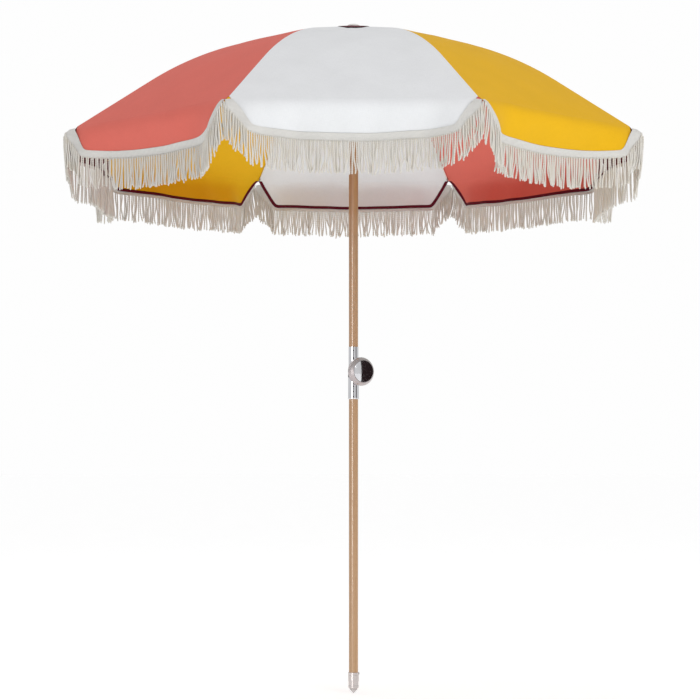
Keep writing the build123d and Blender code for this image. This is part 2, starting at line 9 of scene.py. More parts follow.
import bpy
import numpy as np
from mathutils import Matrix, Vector


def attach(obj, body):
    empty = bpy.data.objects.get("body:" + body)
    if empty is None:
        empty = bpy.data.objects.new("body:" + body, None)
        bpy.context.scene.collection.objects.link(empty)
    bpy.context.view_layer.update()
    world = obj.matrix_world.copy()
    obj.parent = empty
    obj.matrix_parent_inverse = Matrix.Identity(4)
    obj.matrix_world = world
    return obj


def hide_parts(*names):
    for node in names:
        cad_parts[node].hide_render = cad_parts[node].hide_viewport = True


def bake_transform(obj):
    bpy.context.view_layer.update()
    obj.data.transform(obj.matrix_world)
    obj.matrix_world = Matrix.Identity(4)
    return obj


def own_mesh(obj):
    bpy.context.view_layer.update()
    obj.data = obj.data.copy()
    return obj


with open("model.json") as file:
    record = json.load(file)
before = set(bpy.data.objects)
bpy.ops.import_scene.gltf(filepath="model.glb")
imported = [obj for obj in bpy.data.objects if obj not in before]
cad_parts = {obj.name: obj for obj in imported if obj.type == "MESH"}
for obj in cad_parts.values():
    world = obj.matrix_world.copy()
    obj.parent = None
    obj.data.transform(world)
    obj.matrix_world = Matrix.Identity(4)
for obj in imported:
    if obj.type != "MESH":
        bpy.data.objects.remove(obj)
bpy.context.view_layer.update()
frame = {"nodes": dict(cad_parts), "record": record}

# ---------------------------------------------------------------- dimensions, in metres
GORES = 8
STEP = math.radians(360 / GORES)
HALF = STEP / 2
FIRST_RIB = math.radians(-90) - HALF
COS_HALF = math.cos(HALF)
SIN_HALF = math.sin(HALF)

# Seam over a rib, from the pole out: a cone to the knee, an arc to the bend, then a straight run to the tip.
TIP_R = 0.914
TIP_Z = 1.7792
RIM_SLOPE = math.radians(34)
BEND_R = 0.680
ARC_RADIUS = 1.070
ARC_R = BEND_R - ARC_RADIUS * math.sin(RIM_SLOPE)
ARC_Z = TIP_Z + (TIP_R - BEND_R) * math.tan(RIM_SLOPE) - ARC_RADIUS * math.cos(RIM_SLOPE)
KNEE_R = 0.311
KNEE_Z = ARC_Z + math.sqrt(ARC_RADIUS**2 - (KNEE_R - ARC_R) ** 2)
PEAK_R = 0.020
PEAK_Z = 2.159
FLAP_D = TIP_R * COS_HALF
CHORD = TIP_R * SIN_HALF

# Roof cloth between the ribs.
CLOTH = 0.0009
CLOTH_LIFT = 0.0006
ROOF_START = 0.042
BULGE = 0.0045
CROWN_SAG = 0.009
CROWN_SAG_AT = 0.22
CROWN_SAG_WIDTH = 0.13
CROWN_SAG_RISE = 12
RIM_START = 0.72
RIM_ROLL = 0.010
RIM_DIP = 0.0035
RIPPLE = 0.0012
RIPPLE_SKEW = 0.3
RIPPLE_SEED = 100
CROSS_SEED = 140

# Lower edge of the valance: steep at a tip, a rounded corner, then a shallow sag to the gore's middle.
EDGE_SLOPE = 1.60
EDGE_START = 0.004
SHOULDER_DROP = 0.089
MIDDLE_DROP = 0.1050
CORNER = 0.008

# How the valance leaves the rim, tucks in at the gore's middle and flares beside the tips.
LEAVE = 0.9
LEAVE_RADIUS = 0.010
LEAVE_RADIUS_GAIN = 0.020
TUCK = 0.047
TUCK_ACROSS = 0.6
TUCK_DOWN = 1.15
TUCK_DEEPEST = 0.14
FLARE = 0.037
FLARE_AT = 0.045
FLARE_WIDTH = 0.060
FLARE_DEPTH = 0.075
FLARE_MOST = 1.3
FOLD_SIZE = 0.0050
FOLD_CALM = 0.06
FOLD_SEED = 200

# Stiff fringe tape round a tip.
TUFT = 0.022
TUFT_FALL = 0.55
TUFT_WIDTH = 0.024

# Woven header, whose lower edge hangs past the cloth's edge.
HEADER = 0.023
HEADER_HANG = 0.012

# Steps over which slopes are measured, and points along the measured edge.
SURFACE_STEP = 0.0004
SEAM_STEP = 0.001
EDGE_STEP = 0.0005
EDGE_SAMPLES = 4001

CANVAS = ["canvas_white", "canvas_mustard", "canvas_burgundy", "canvas_coral"]


# ---------------------------------------------------------------- meshes
def make_object(name, points, faces, uvs=None, normals=None):
    """A mesh object from points, faces, one UV per point and one normal per point."""
    me = bpy.data.meshes.new(name)
    me.from_pydata(np.asarray(points).tolist(), [], [list(f) for f in faces])
    me.polygons.foreach_set("use_smooth", [True] * len(me.polygons))
    if uvs is not None:
        loops = np.zeros(len(me.loops), np.int32)
        me.loops.foreach_get("vertex_index", loops)
        layer = me.uv_layers.new(name="cloth")
        layer.data.foreach_set("uv", np.asarray(uvs, np.float32)[loops].ravel())
    if normals is not None:
        me.normals_split_custom_set_from_vertices(np.asarray(normals).tolist())
    me.update()
    ob = bpy.data.objects.new(name, me)
    bpy.context.scene.collection.objects.link(ob)
    return ob


def grid_faces(rows, columns, first=0, flip=False):
    """Quads of a grid of rows x columns points, numbered row by row from first."""
    i = np.arange((rows - 1) * (columns - 1))
    a = first + (i // (columns - 1)) * columns + i % (columns - 1)
    quads = np.stack([a, a + 1, a + columns + 1, a + columns], 1)
    return quads[:, ::-1] if flip else quads


def rim_loop(rows, columns):
    """Point numbers round the edge of a grid, in order."""
    top = list(range(columns))
    right = [r * columns + columns - 1 for r in range(1, rows)]
    bottom = [(rows - 1) * columns + c for c in range(columns - 2, -1, -1)]
    left = [r * columns for r in range(rows - 2, 0, -1)]
    return top + right + bottom + left


def sheet_object(name, surface, us, vs, thickness, uv_of):
    """A closed thin sheet over surface(u, v), with that surface's normals, so that neighbours meet unseen."""
    u, v = np.meshgrid(us, vs, indexing="xy")
    du = SURFACE_STEP * np.sign(us[-1] - us[0])
    dv = SURFACE_STEP * np.sign(vs[-1] - vs[0])
    middle = surface(u, v)
    along_u = surface(u + du, v) - surface(u - du, v)
    along_v = surface(u, v + dv) - surface(u, v - dv)
    normal = np.cross(along_u, along_v)
    size = np.linalg.norm(normal, axis=-1, keepdims=True)
    normal = normal / np.maximum(size, 1e-12)
    rows, columns = u.shape
    outer = (middle + normal * thickness / 2).reshape(-1, 3)
    inner = (middle - normal * thickness / 2).reshape(-1, 3)
    normals = normal.reshape(-1, 3)
    count = rows * columns
    faces = grid_faces(rows, columns).tolist()
    faces += grid_faces(rows, columns, count, flip=True).tolist()
    loop = rim_loop(rows, columns)
    for a, b in zip(loop, loop[1:] + loop[:1]):
        faces.append([b, a, a + count, b + count])
    uv = np.stack(uv_of(u, v), -1).reshape(-1, 2)
    return make_object(
        name,
        np.concatenate([outer, inner]),
        faces,
        np.concatenate([uv, uv]),
        np.concatenate([normals, -normals]),
    )


def smooth_noise(seed, count, low, high):
    """A seeded sum of sine waves of one value, with wavelengths from low to high metres, about 1 high."""
    draw = np.random.default_rng(seed)
    waves = draw.uniform(low, high, count)
    phases = draw.uniform(0, 2 * math.pi, count)
    sizes = draw.uniform(0.5, 1.0, count) / math.sqrt(count)

    def value(x):
        x = np.asarray(x, float)[..., None]
        return (sizes * np.sin(2 * math.pi * x / waves + phases)).sum(-1)

    return value


# ---------------------------------------------------------------- canopy surface
def seam_height(r):
    """Height of the fabric's seam over a rib, at a distance r from the pole's axis."""
    r = np.asarray(r, float)
    arc = ARC_Z + np.sqrt(ARC_RADIUS**2 - (np.minimum(r, BEND_R) - ARC_R) ** 2)
    arc = arc - np.maximum(r - BEND_R, 0) * math.tan(RIM_SLOPE)
    cone = PEAK_Z - (PEAK_Z - KNEE_Z) * (r - PEAK_R) / (KNEE_R - PEAK_R)
    return np.where(r > KNEE_R, arc, cone)


def gore_frame(k):
    """Outward normal and chord direction of gore k, in the row frame."""
    a = FIRST_RIB + HALF + k * STEP
    return np.array([math.cos(a), math.sin(a), 0]), np.array([-math.sin(a), math.cos(a), 0])


def place(k, d, x, z):
    """Row-frame points from gore k's distance, chord and height."""
    n, m = gore_frame(k)
    up = np.array([0, 0, 1.0])
    return d[..., None] * n + x[..., None] * m + z[..., None] * up


def crown_sag(r, across):
    """How far the cloth sinks between the ribs near the crown, at a share across of the way off its ribs."""
    start = np.clip((r - PEAK_R) / (TIP_R - PEAK_R) * CROWN_SAG_RISE, 0, 1)
    return CROWN_SAG * across * np.exp(-(((r - CROWN_SAG_AT) / CROWN_SAG_WIDTH) ** 2)) * start


def roof_surface(k):
    """Surface of gore k over r, from the pole, and t, from -1 at its first rib to 1 at its second."""
    ripple = smooth_noise(RIPPLE_SEED + k, count=4, low=0.16, high=0.5)
    cross = smooth_noise(CROSS_SEED + k, count=3, low=0.5, high=1.4)

    def surface(r, t):
        s = np.clip((r - PEAK_R) / (TIP_R - PEAK_R), 0, 1)
        fall = (seam_height(r + SEAM_STEP) - seam_height(r - SEAM_STEP)) / (2 * SEAM_STEP)
        slope = fall / COS_HALF
        size = np.sqrt(1 + slope**2)
        across = np.clip(1 - t * t, 0, 1)
        rim = np.clip((s - RIM_START) / (1 - RIM_START), 0, 1)
        swell = BULGE * across * 4 * s**1.5 * (1 - s)
        swell = swell - crown_sag(r, across)
        waviness = RIPPLE * across * (s * (1 - s) * 4)
        swell = swell + waviness * ripple(r + RIPPLE_SKEW * t) * (1 + cross(t))
        turn = RIM_ROLL * rim**3 * across
        d = r * COS_HALF - swell * slope / size - turn
        z = seam_height(r) + CLOTH_LIFT + swell / size - turn * RIM_DIP / RIM_ROLL
        return place(k, d, t * r * SIN_HALF, z)

    return surface


def edge_depth(c):
    """How far the valance's cloth hangs at a distance c from its tip, along the chord."""
    c = np.maximum(c, 0)
    steep = EDGE_SLOPE * c
    sag = np.sin(np.clip(c / CHORD, 0, 1) * math.pi / 2)
    gentle = SHOULDER_DROP + (MIDDLE_DROP - SHOULDER_DROP) * sag
    rounded = -CORNER * np.log(np.exp(-steep / CORNER) + np.exp(-gentle / CORNER))
    return rounded * (1 - np.exp(-c / EDGE_START))


def flap_offset(k):
    """How far out of its plane the valance of gore k stands, over the chord and the depth."""
    folds = smooth_noise(FOLD_SEED + k, count=5, low=0.09, high=0.24)
    rim_slope = math.tan(RIM_SLOPE)

    def offset(x, depth):
        c = CHORD - np.abs(x)
        middle = np.clip(1 - (x / CHORD) ** 2, 0, 1)
        depth = np.maximum(depth, 0)
        share = np.minimum(depth, TUCK_DEEPEST) / MIDDLE_DROP
        start = -RIM_ROLL * middle
        radius = LEAVE_RADIUS + LEAVE_RADIUS_GAIN * middle
        leave = LEAVE / rim_slope * radius * (1 - np.exp(-depth / radius))
        tuck = (TUCK - RIM_ROLL) * middle**TUCK_ACROSS * share**TUCK_DOWN
        inward = tuck + leave * np.minimum(share, 1)
        hump = FLARE * np.exp(-(((c - FLARE_AT) / FLARE_WIDTH) ** 2))
        flare = hump * np.minimum(depth / FLARE_DEPTH, FLARE_MOST)
        calm = 1 - np.exp(-((c / FOLD_CALM) ** 2))
        return start + leave - inward + flare + FOLD_SIZE * folds(x) * share * calm

    return offset


def tuft(x):
    """How far the stiff fringe tape stands out round a rib's tip, at chord x of its gore."""
    return TUFT * np.exp(-(((CHORD - np.abs(x)) / TUFT_WIDTH) ** 2))


def flap_point(k, x, depth, out=0.0, pleat=0.0):
    """A point of gore k's valance at chord x and a depth below the rim, moved outward by out and pleat."""
    w = flap_offset(k)(x, depth) + pleat
    middle = np.clip(1 - (x / CHORD) ** 2, 0, 1)
    wide = x + np.sign(x) * pleat * math.tan(HALF)
    drop = RIM_DIP * middle + depth + TUFT_FALL * pleat
    return place(k, FLAP_D + w + out, wide, TIP_Z + CLOTH_LIFT - drop)


def edge_track(side, spacing):
    """Evenly spaced chord positions on the valance's edge, from a side's tip to the middle, and their run."""
    c = np.linspace(0, CHORD, EDGE_SAMPLES)
    depth = edge_depth(c)
    run = np.concatenate([[0], np.cumsum(np.hypot(np.diff(c), np.diff(depth)))])
    count = max(2, int(round(run[-1] / spacing)) + 1)
    at = np.interp(np.linspace(0, run[-1], count), run, c)
    return side * (CHORD - at), np.linspace(0, run[-1], count)


def edge_normal(x):
    """Upward normal of the valance's edge, as chord and height parts."""
    c = CHORD - np.abs(x)
    slope = (edge_depth(c + EDGE_STEP) - edge_depth(c - EDGE_STEP)) / (2 * EDGE_STEP)
    size = np.sqrt(1 + slope**2)
    return -np.sign(x) * slope / size, 1 / size


# ---------------------------------------------------------------- materials
def nodes_of(name):
    """A new material, its node tree and its Principled shader."""
    mat = bpy.data.materials.new(name)
    mat.use_nodes = True
    tree = mat.node_tree
    return mat, tree, tree.nodes["Principled BSDF"]


def linear(rgb):
    """Linear colour from an 8-bit sRGB one."""
    out = []
    for v in rgb:
        v = v / 255
        out.append(v / 12.92 if v <= 0.04045 else ((v + 0.055) / 1.055) ** 2.4)
    return (*out, 1)


def set_inputs(tree, node, **inputs):
    """Sets a node's inputs, by name or by _number, to values, or links them to other nodes' sockets."""
    for key, value in inputs.items():
        socket = node.inputs[int(key[1:]) if key[0] == "_" else key.replace("_", " ")]
        if isinstance(value, bpy.types.NodeSocket):
            tree.links.new(value, socket)
        else:
            socket.default_value = value


def add(tree, kind, **inputs):
    """A new node with some of its inputs set."""
    node = tree.nodes.new(kind)
    set_inputs(tree, node, **inputs)
    return node


def math_node(tree, operation, a, b=0.0):
    """A Math node's output."""
    node = add(tree, "ShaderNodeMath", _0=a, _1=b)
    node.operation = operation
    return node.outputs[0]


def scaled(tree, value, factor, offset=None):
    """A value times a factor, plus an offset if one is given."""
    product = math_node(tree, "MULTIPLY", value, factor)
    return product if offset is None else math_node(tree, "ADD", product, offset)


def sine(tree, value, factor):
    """The sine of a value times a factor."""
    return math_node(tree, "SINE", scaled(tree, value, factor))


def ramp(tree, fac, stops):
    """A colour ramp's output."""
    node = tree.nodes.new("ShaderNodeValToRGB")
    tree.links.new(fac, node.inputs[0])
    while len(node.color_ramp.elements) < len(stops):
        node.color_ramp.elements.new(0.5)
    for element, (position, color) in zip(node.color_ramp.elements, stops):
        element.position = position
        element.color = color
    return node.outputs[0]


def spread(color, factor):
    """A colour scaled in brightness."""
    return (*(min(1, c * factor) for c in color[:3]), 1)


def noise(tree, vector, scale, detail, rough, stretch=None):
    """A noise texture's value."""
    if stretch is not None:
        vector = add(tree, "ShaderNodeMapping", Vector=vector, Scale=stretch).outputs[0]
    return add(
        tree, "ShaderNodeTexNoise", Vector=vector, Scale=scale, Detail=detail, Roughness=rough
    ).outputs[0]


def mix_color(tree, fac, a, b, kind="MIX"):
    """A colour mix node's output."""
    node = tree.nodes.new("ShaderNodeMix")
    node.data_type = "RGBA"
    node.blend_type = kind
    set_inputs(tree, node, _0=fac, _6=a, _7=b)
    return node.outputs[2]


def shaded(tree, color, shade):
    """A colour multiplied by a grey value, which paints shade into the hollows of a relief."""
    grey = add(tree, "ShaderNodeCombineColor", _0=shade, _1=shade, _2=shade).outputs[0]
    return mix_color(tree, 1.0, color, grey, "MULTIPLY")


def bumped(tree, strength, distance, height, **normal):
    """A bump node's normal, over another normal if one is given as Normal."""
    return add(
        tree, "ShaderNodeBump", Strength=strength, Distance=distance, Height=height, **normal
    ).outputs[0]


def object_position(tree):
    """Position in the piece's own frame, in metres."""
    return tree.nodes.new("ShaderNodeTexCoord").outputs["Object"]


def sewn_position(tree):
    """A sewn piece's UV, in metres, and its two parts."""
    uv = tree.nodes.new("ShaderNodeUVMap").outputs[0]
    split = add(tree, "ShaderNodeSeparateXYZ", _0=uv)
    return uv, split.outputs[0], split.outputs[1]


CANVAS_YARN = 0.00085
CORD_PLY = 0.0045
TAPE_STITCH = 0.0029
TAPE_ROW = 0.0032


def canvas_material(name, rgb):
    """Plain-weave acrylic canvas, with UVs in metres, and painted shade in the hollows of its weave."""
    mat, tree, shader = nodes_of(name)
    uv, u, v = sewn_position(tree)
    warp = sine(tree, u, math.pi / CANVAS_YARN)
    weft = sine(tree, v, math.pi / CANVAS_YARN)
    weave = math_node(tree, "MULTIPLY", warp, weft)
    slub_u = noise(tree, uv, 1.0, 3, 0.6, (1400, 60, 1))
    slub_v = noise(tree, uv, 1.0, 3, 0.6, (60, 1400, 1))
    slub = scaled(tree, math_node(tree, "ADD", slub_u, slub_v), 0.5)
    mottle = noise(tree, uv, 9.0, 5, 0.55)
    puckers = noise(tree, uv, 22.0, 3, 0.5)
    base = linear(rgb)
    high = spread(base, 1.06)
    color = ramp(tree, slub, [(0.3, spread(base, 0.93)), (0.7, high)])
    stains = ramp(tree, mottle, [(0.3, spread(base, 0.80)), (0.7, high)])
    color = mix_color(tree, 0.16, color, stains)
    height = math_node(tree, "ADD", scaled(tree, weave, 0.5), slub)
    threads = bumped(tree, 0.25, 0.0004, height)
    set_inputs(
        tree,
        shader,
        # Painted shade: the colour darkens where the weave's bump is low.
        Base_Color=shaded(tree, color, scaled(tree, weave, 0.035, 0.975)),
        Roughness=scaled(tree, slub, 0.12, 0.74),
        Specular_IOR_Level=0.12,
        Sheen_Weight=0.03,
        Sheen_Roughness=0.5,
        Normal=bumped(tree, 0.12, 0.004, puckers, Normal=threads),
    )
    return mat


def cotton_material(name, rgb):
    """Twisted cotton cord: u runs once round the cord, and v runs along it in metres."""
    mat, tree, shader = nodes_of(name)
    uv, around, along = sewn_position(tree)
    turn = scaled(tree, around, 4 * math.pi)
    rise = scaled(tree, along, 2 * math.pi / CORD_PLY)
    ply = math_node(tree, "SINE", math_node(tree, "ADD", turn, rise))
    fibre = noise(tree, uv, 1.0, 4, 0.6, (30, 2600, 1))
    patch = noise(tree, object_position(tree), 38.0, 3, 0.5)
    base = linear(rgb)
    warm = (base[0] * 0.93, base[1] * 0.89, base[2] * 0.80, 1)
    color = ramp(tree, fibre, [(0.3, spread(base, 0.90)), (0.72, spread(base, 1.05))])
    warmth = ramp(tree, patch, [(0.42, (0, 0, 0, 1)), (0.72, (0.6, 0.6, 0.6, 1))])
    color = mix_color(tree, warmth, color, warm)
    set_inputs(
        tree,
        shader,
        # Painted shade: the colour darkens in the grooves between the plies, where the bump is low.
        Base_Color=shaded(tree, color, scaled(tree, ply, 0.09, 0.93)),
        Roughness=scaled(tree, fibre, 0.15, 0.80),
        Specular_IOR_Level=0.2,
        Sheen_Weight=0.2,
        Sheen_Roughness=0.6,
        Normal=bumped(tree, 0.5, 0.0006, math_node(tree, "ADD", ply, fibre)),
    )
    return mat


def tape_material(name, rgb):
    """Woven header tape of the fringe, with UVs in metres along and across it."""
    mat, tree, shader = nodes_of(name)
    uv, along, across = sewn_position(tree)
    rib = sine(tree, along, 2 * math.pi / TAPE_STITCH)
    row = sine(tree, across, 2 * math.pi / TAPE_ROW)
    knit = math_node(tree, "MULTIPLY", rib, row)
    fibre = noise(tree, uv, 1.0, 4, 0.6, (900, 900, 1))
    mottle = noise(tree, uv, 26.0, 3, 0.5)
    base = linear(rgb)
    color = ramp(tree, fibre, [(0.3, spread(base, 0.90)), (0.7, spread(base, 1.05))])
    color = mix_color(tree, 0.2, color, ramp(tree, mottle, [(0.3, spread(base, 0.78)), (0.7, base)]))
    set_inputs(
        tree,
        shader,
        # Painted shade: the colour darkens in the hollows of the knit, where the bump is low.
        Base_Color=shaded(tree, color, scaled(tree, knit, 0.10, 0.93)),
        Roughness=scaled(tree, fibre, 0.15, 0.80),
        Specular_IOR_Level=0.2,
        Sheen_Weight=0.2,
        Normal=bumped(tree, 0.5, 0.0008, math_node(tree, "ADD", knit, fibre)),
    )
    return mat


def wood_material(name, light, mid, dark, coat):
    """Varnished straight-grained hardwood, with the grain along the height."""
    mat, tree, shader = nodes_of(name)
    at = object_position(tree)
    bend = scaled(tree, noise(tree, at, 1.0, 2, 0.5, (14, 14, 0.9)), 0.02)
    offset = add(tree, "ShaderNodeCombineXYZ", _0=bend)
    grain_at = add(tree, "ShaderNodeVectorMath", _0=at, _1=offset.outputs[0]).outputs[0]
    bands = noise(tree, grain_at, 1.0, 3, 0.55, (170, 170, 1.4))
    fine = noise(tree, grain_at, 1.0, 5, 0.65, (900, 900, 7))
    pores = noise(tree, grain_at, 1.0, 2, 0.5, (1900, 1900, 55))
    wide = noise(tree, at, 1.0, 2, 0.5, (9, 9, 1.1))
    color = ramp(tree, bands, [(0.28, linear(dark)), (0.5, linear(mid)), (0.74, linear(light))])
    streak = ramp(tree, fine, [(0.32, linear(dark)), (0.62, linear(light))])
    color = mix_color(tree, 0.32, color, streak)
    tone = ramp(tree, wide, [(0.3, (0.90, 0.88, 0.86, 1)), (0.7, (1.0, 1.0, 1.0, 1))])
    color = mix_color(tree, 1.0, color, tone, "MULTIPLY")
    speck = ramp(tree, pores, [(0.30, (0.62, 0.52, 0.42, 1)), (0.38, (1, 1, 1, 1))])
    height = math_node(tree, "ADD", fine, scaled(tree, pores, 0.6))
    set_inputs(
        tree,
        shader,
        Base_Color=mix_color(tree, 0.55, color, speck, "MULTIPLY"),
        Roughness=scaled(tree, fine, 0.18, 0.34),
        Coat_Weight=coat,
        Coat_Roughness=0.16,
        Normal=bumped(tree, 0.18, 0.0004, height),
    )
    return mat


def metal_material(name, rgb, rough, spots, marking, scale=60.0, stretch=(1, 1, 1)):
    """Plated or turned metal with faint smudges and fine marks."""
    mat, tree, shader = nodes_of(name)
    at = object_position(tree)
    smudge = noise(tree, at, scale, 4, 0.6)
    marks = noise(tree, at, 420.0, 3, 0.6, stretch)
    base = linear(rgb)
    set_inputs(
        tree,
        shader,
        Base_Color=ramp(tree, smudge, [(0.3, spread(base, 0.93)), (0.7, spread(base, 1.04))]),
        Metallic=1.0,
        Roughness=scaled(tree, math_node(tree, "ADD", smudge, marks), spots, rough - spots),
        Normal=bumped(tree, marking, 0.0005, marks),
    )
    return mat


def coated_material(name, rgb, rough, coat):
    """Moulded plastic or enamel, with a faint orange-peel surface."""
    mat, tree, shader = nodes_of(name)
    at = object_position(tree)
    peel = noise(tree, at, 620.0, 3, 0.5)
    mottle = noise(tree, at, 30.0, 4, 0.6)
    base = linear(rgb)
    set_inputs(
        tree,
        shader,
        Base_Color=ramp(tree, mottle, [(0.3, spread(base, 0.94)), (0.7, spread(base, 1.02))]),
        Roughness=scaled(tree, mottle, 0.14, rough),
        Coat_Weight=coat,
        Coat_Roughness=0.12,
        Normal=bumped(tree, 0.12, 0.0004, peel),
    )
    return mat


materials = {
    "varnished_wood": wood_material("varnished_wood", (192, 152, 112), (178, 138, 98), (156, 116, 78), 0.5),
    "hub_wood": wood_material("hub_wood", (204, 166, 124), (186, 146, 104), (160, 118, 80), 0.25),
    "chrome": metal_material("chrome", (228, 228, 231), rough=0.06, spots=0.02, marking=0.002),
    "satin_chrome": metal_material("satin_chrome", (186, 178, 178), rough=0.24, spots=0.05, marking=0.01),
    "pale_metal": metal_material(
        "pale_metal", (200, 194, 192), rough=0.22, spots=0.08, marking=0.05, scale=90.0, stretch=(1, 1, 6)
    ),
    "zinc_steel": metal_material(
        "zinc_steel", (196, 199, 203), rough=0.33, spots=0.12, marking=0.06, scale=120.0
    ),
    "enamelled_steel": coated_material("enamelled_steel", (233, 231, 226), rough=0.22, coat=0.5),
    "white_plastic": coated_material("white_plastic", (228, 226, 221), rough=0.36, coat=0.1),
    "canvas_white": canvas_material("canvas_white", (229, 230, 232)),
    "canvas_mustard": canvas_material("canvas_mustard", (229, 177, 24)),
    "canvas_burgundy": canvas_material("canvas_burgundy", (92, 14, 34)),
    "canvas_coral": canvas_material("canvas_coral", (219, 110, 98)),
    "fringe_cord": cotton_material("fringe_cord", (228, 224, 217)),
}
header_tape = tape_material("fringe_header", (227, 225, 221))


def finish_piece(ob, slot, material=None):
    """Gives a new piece the material of its slot, or the material given."""
    ob.data.materials.clear()
    ob.data.materials.append(material or materials[slot])


for part in frame["record"]["subparts"]:
    node = frame["nodes"].get(part["node"])
    if node is None:
        continue
    node.data.materials.clear()
    node.data.materials.append(materials[part["material_slot"]])

# ---------------------------------------------------------------- canopy pieces
ROOF_ROWS = 76
ROOF_ROW_POWER = 1.15
ROOF_COLUMNS = 25
RUN_PER_R = 1.12
FLAP_ROWS = 22
FLAP_SPACING = 0.006
FLAP_LEAST_DEPTH = 0.0004

BINDING_SPACING = 0.004
BINDING_SIDES = 12
BINDING_WIDTH = 0.0110
BINDING_THICKNESS = 0.0018
BINDING_ABOVE_EDGE = 0.0045
BINDING_GAP = 0.0006
BINDING_TOP = 0.0002
BINDING_ROUND = 0.02

HEADER_SPACING = 0.0011
HEADER_ROWS = 19
HEADER_THICKNESS = 0.0013
HEADER_OUT = 0.0012
HEADER_TOP = 0.0006
HEADER_BEAD = 0.00042
HEADER_STITCH = 0.0033
HEADER_ROW_PITCH = 0.0042
HEADER_ENDS = 0.35


def hang(ob, rib):
    """Makes a piece of a valance hang with the hem body of its rib."""
    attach(ob, f"hem_{rib + 1}")
    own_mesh(ob)


def roof_half(gore, side, letter, rib, slot):
    """Half of a gore's roof, on the rib that it is sewn to."""
    surface = roof_surface(gore)
    rs = TIP_R - (TIP_R - ROOF_START) * np.linspace(1, 0, ROOF_ROWS) ** ROOF_ROW_POWER
    ts = np.linspace(-1, 0, ROOF_COLUMNS) if side < 0 else np.linspace(0, 1, ROOF_COLUMNS)
    ob = sheet_object(
        f"canopy_roof_{gore + 1}{letter}",
        lambda t, r: surface(r, t),
        ts,
        rs[::-1],
        CLOTH,
        lambda t, r: (t * r * SIN_HALF, r * RUN_PER_R),
    )
    finish_piece(ob, slot)
    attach(ob, f"rib_{rib + 1}")
    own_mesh(ob)
    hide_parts(f"canopy_panel_{gore + 1}")


def flap_half(gore, side, letter, rib, slot):
    """Half of a gore's valance, which carries the pieces sewn to it."""
    track, _ = edge_track(side, FLAP_SPACING)
    share = np.linspace(0, 1, FLAP_ROWS)

    def surface(x, v):
        return flap_point(gore, x, v * np.maximum(edge_depth(CHORD - np.abs(x)), FLAP_LEAST_DEPTH))

    ob = sheet_object(
        f"valance_{gore + 1}{letter}",
        surface,
        np.sort(track),
        share[::-1],
        CLOTH,
        lambda x, v: (x, RUN_PER_R * TIP_R + v * edge_depth(CHORD - np.abs(x))),
    )
    finish_piece(ob, slot)
    hang(ob, rib)
    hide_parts(f"canopy_panel_{gore + 1}")


def binding_half(gore, side, letter, rib):
    """Burgundy tape sewn round the valance's lower edge, on the inside."""
    track, run = edge_track(side, BINDING_SPACING)
    nx, nz = edge_normal(track)
    depth = edge_depth(CHORD - np.abs(track))
    rows = []
    for angle in np.linspace(0, 2 * math.pi, BINDING_SIDES, endpoint=False):
        across = BINDING_ABOVE_EDGE + math.cos(angle) * BINDING_WIDTH / 2
        out = -CLOTH / 2 - BINDING_GAP + math.sin(angle) * BINDING_THICKNESS / 2
        x = side * np.minimum(np.abs(track + nx * across), CHORD)
        rows.append(flap_point(gore, x, np.maximum(depth - nz * across, BINDING_TOP), out))
    points = np.stack(rows, 1)
    sections, sides = points.shape[:2]
    faces = []
    for i in range(sections - 1):
        for j in range(sides):
            a, b = i * sides + j, i * sides + (j + 1) % sides
            faces.append([a, b, b + sides, a + sides])
    faces.append(list(range(sides)))
    faces.append([(sections - 1) * sides + j for j in range(sides - 1, -1, -1)])
    if side < 0:
        faces = [f[::-1] for f in faces]
    uv = np.stack(np.meshgrid(run, np.linspace(0, BINDING_ROUND, sides), indexing="ij"), -1).reshape(-1, 2)
    ob = make_object(f"binding_{gore + 1}{letter}", points.reshape(-1, 3), faces, uv)
    finish_piece(ob, "canvas_burgundy")
    hang(ob, rib)
    return ob


def header_half(gore, side, letter, rib):
    """Woven header of the fringe, sewn on the outside of the valance's edge."""
    track, run = edge_track(side, HEADER_SPACING)
    across = np.linspace(-HEADER_HANG, HEADER - HEADER_HANG, HEADER_ROWS)

    def surface(u, s):
        x = np.interp(u, run, track)
        nx, nz = edge_normal(x)
        d = np.maximum(edge_depth(CHORD - np.abs(x)) - nz * s, HEADER_TOP)
        px = side * np.minimum(np.abs(x + nx * s), CHORD)
        knit = np.sin(2 * math.pi * u / HEADER_STITCH) * np.cos(2 * math.pi * s / HEADER_ROW_PITCH)
        ends = HEADER_ENDS * np.cos(2 * math.pi * u / (2 * HEADER_STITCH))
        bead = HEADER_BEAD * (knit + ends)
        return flap_point(gore, px, d, CLOTH / 2 + HEADER_OUT + bead, tuft(px))

    us = run[::-1] if side > 0 else run
    ob = sheet_object(
        f"fringe_header_{gore + 1}{letter}", surface, us, across, HEADER_THICKNESS, lambda u, s: (u, s)
    )
    finish_piece(ob, "fringe_cord", header_tape)
    hang(ob, rib)
    return ob


# ---------------------------------------------------------------- fringe cords
CORD_SPACING = 0.0054
CORD_OVERLAP = 0.003
CORD_OUT = 0.0030
CORD_TOP = 0.0005
CORD_LENGTH = 0.093
CORD_LENGTH_SPREAD = 0.0028
SHORT_SHARE = 0.12
SHORT_BY = 0.006

# The burgundy panels at the sides, whose fringe hangs lower.
SIDE_GORES = (2, 6)
SIDE_CORD_EXTRA = 0.024

# Neighbours swing together, and each cord swings and bows a little on its own.
CLUMP_SWING = 0.0085
CLUMP_SEED = 3000
DRIFT_SWING = 0.0060
DRIFT_SEED = 3100
OWN_SWING_ALONG = 0.0022
OWN_SWING_OUT = 0.0020
SWING_POWER = 1.6
BOW = 0.0029
BOW_HALF_WAVES = 2.1
BOW_PHASE = 6
SETTLE = 0.012
LAYER = 0.0024
LAYER_STEEP = 0.0022
CORD_SEED = 1000

